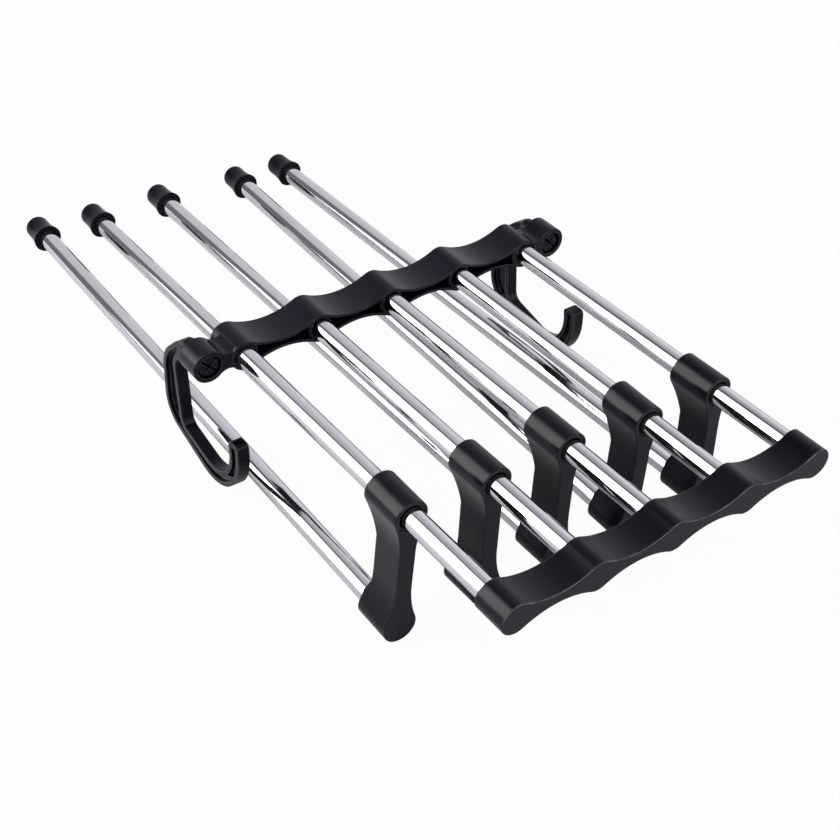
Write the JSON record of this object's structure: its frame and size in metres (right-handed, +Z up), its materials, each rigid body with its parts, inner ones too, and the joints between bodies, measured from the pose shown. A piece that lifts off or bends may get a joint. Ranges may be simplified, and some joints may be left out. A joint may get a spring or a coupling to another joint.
{
  "type": "trouser hanger",
  "caption": "Multi-tier trouser hanger: steel rails between wavy plastic bars carry sliding, swinging legs with capped lower bars; swivel hooks hang on a wardrobe rod.",
  "frame": {"origin": "on the ground plane the legs stand on, below the middle of the overall length and width", "axes": "+X along the rails towards the plain end bar, +Y across the rails, +Z up, with the hooks hanging down"},
  "size_m": [0.4396, 0.2112, 0.0757],
  "materials": {
    "frame_plastic": "satin",
    "leg_plastic": "satin",
    "hook_plastic": "satin",
    "bush_plastic": "matte",
    "cap_rubber": "matte",
    "rail_steel": "polished",
    "bar_steel": "polished"
  },
  "bodies": {
    "frame": {"end_bar": "frame_plastic", "mid_bar": "frame_plastic", "rail_1": "rail_steel", "rail_2": "rail_steel", "rail_3": "rail_steel", "rail_4": "rail_steel", "rail_5": "rail_steel"},
    "slide_1": {"slide_bush_1": "bush_plastic"},
    "bar_1": {"leg_bracket_1": "leg_plastic", "trouser_bar_1": "bar_steel", "end_cap_1": "cap_rubber"},
    "slide_2": {"slide_bush_2": "bush_plastic"},
    "bar_2": {"leg_bracket_2": "leg_plastic", "trouser_bar_2": "bar_steel", "end_cap_2": "cap_rubber"},
    "slide_3": {"slide_bush_3": "bush_plastic"},
    "bar_3": {"leg_bracket_3": "leg_plastic", "trouser_bar_3": "bar_steel", "end_cap_3": "cap_rubber"},
    "slide_4": {"slide_bush_4": "bush_plastic"},
    "bar_4": {"leg_bracket_4": "leg_plastic", "trouser_bar_4": "bar_steel", "end_cap_4": "cap_rubber"},
    "slide_5": {"slide_bush_5": "bush_plastic"},
    "bar_5": {"leg_bracket_5": "leg_plastic", "trouser_bar_5": "bar_steel", "end_cap_5": "cap_rubber"},
    "hook_left": {"hook_left": "hook_plastic"},
    "hook_right": {"hook_right": "hook_plastic"}
  },
  "joints": [
    {"name": "bar_1_slide", "type": "slide", "parent": "frame", "child": "slide_1", "axis": [1, 0, 0], "range_m": [-0.1045, 0.0486]},
    {"name": "bar_1_swing", "type": "hinge", "parent": "slide_1", "child": "bar_1", "pos_m": [0.14315, -0.08, 0.06775], "axis": [0.9998, -0.0183, 0], "range_deg": [-2.4, 15]},
    {"name": "bar_2_slide", "type": "slide", "parent": "frame", "child": "slide_2", "axis": [1, 0, 0], "range_m": [-0.1071, 0.046]},
    {"name": "bar_2_swing", "type": "hinge", "parent": "slide_2", "child": "bar_2", "pos_m": [0.14575, -0.04, 0.06775], "axis": [0.9999, 0.0105, 0], "range_deg": [-12, 12]},
    {"name": "bar_3_slide", "type": "slide", "parent": "frame", "child": "slide_3", "axis": [1, 0, 0], "range_m": [-0.1069, 0.0462]},
    {"name": "bar_3_swing", "type": "hinge", "parent": "slide_3", "child": "bar_3", "pos_m": [0.14555, 0, 0.06775], "axis": [1, 0.0026, 0], "range_deg": [-12, 12]},
    {"name": "bar_4_slide", "type": "slide", "parent": "frame", "child": "slide_4", "axis": [1, 0, 0], "range_m": [-0.1115, 0.0416]},
    {"name": "bar_4_swing", "type": "hinge", "parent": "slide_4", "child": "bar_4", "pos_m": [0.15015, 0.04, 0.06775], "axis": [0.9996, -0.0279, 0], "range_deg": [-11.1, 12.9]},
    {"name": "bar_5_slide", "type": "slide", "parent": "frame", "child": "slide_5", "axis": [1, 0, 0], "range_m": [-0.1124, 0.0407]},
    {"name": "bar_5_swing", "type": "hinge", "parent": "slide_5", "child": "bar_5", "pos_m": [0.15105, 0.08, 0.06775], "axis": [0.9999, 0.0113, 0], "range_deg": [-13, 1.8]},
    {"name": "hook_left_swivel", "type": "hinge", "parent": "frame", "child": "hook_left", "pos_m": [0.01255, -0.0976, 0.06775], "axis": [-1, 0, 0], "range_deg": [0, 240]},
    {"name": "hook_right_swivel", "type": "hinge", "parent": "frame", "child": "hook_right", "pos_m": [0.01255, 0.0976, 0.06775], "axis": [1, 0, 0], "range_deg": [0, 240]}
  ]
}
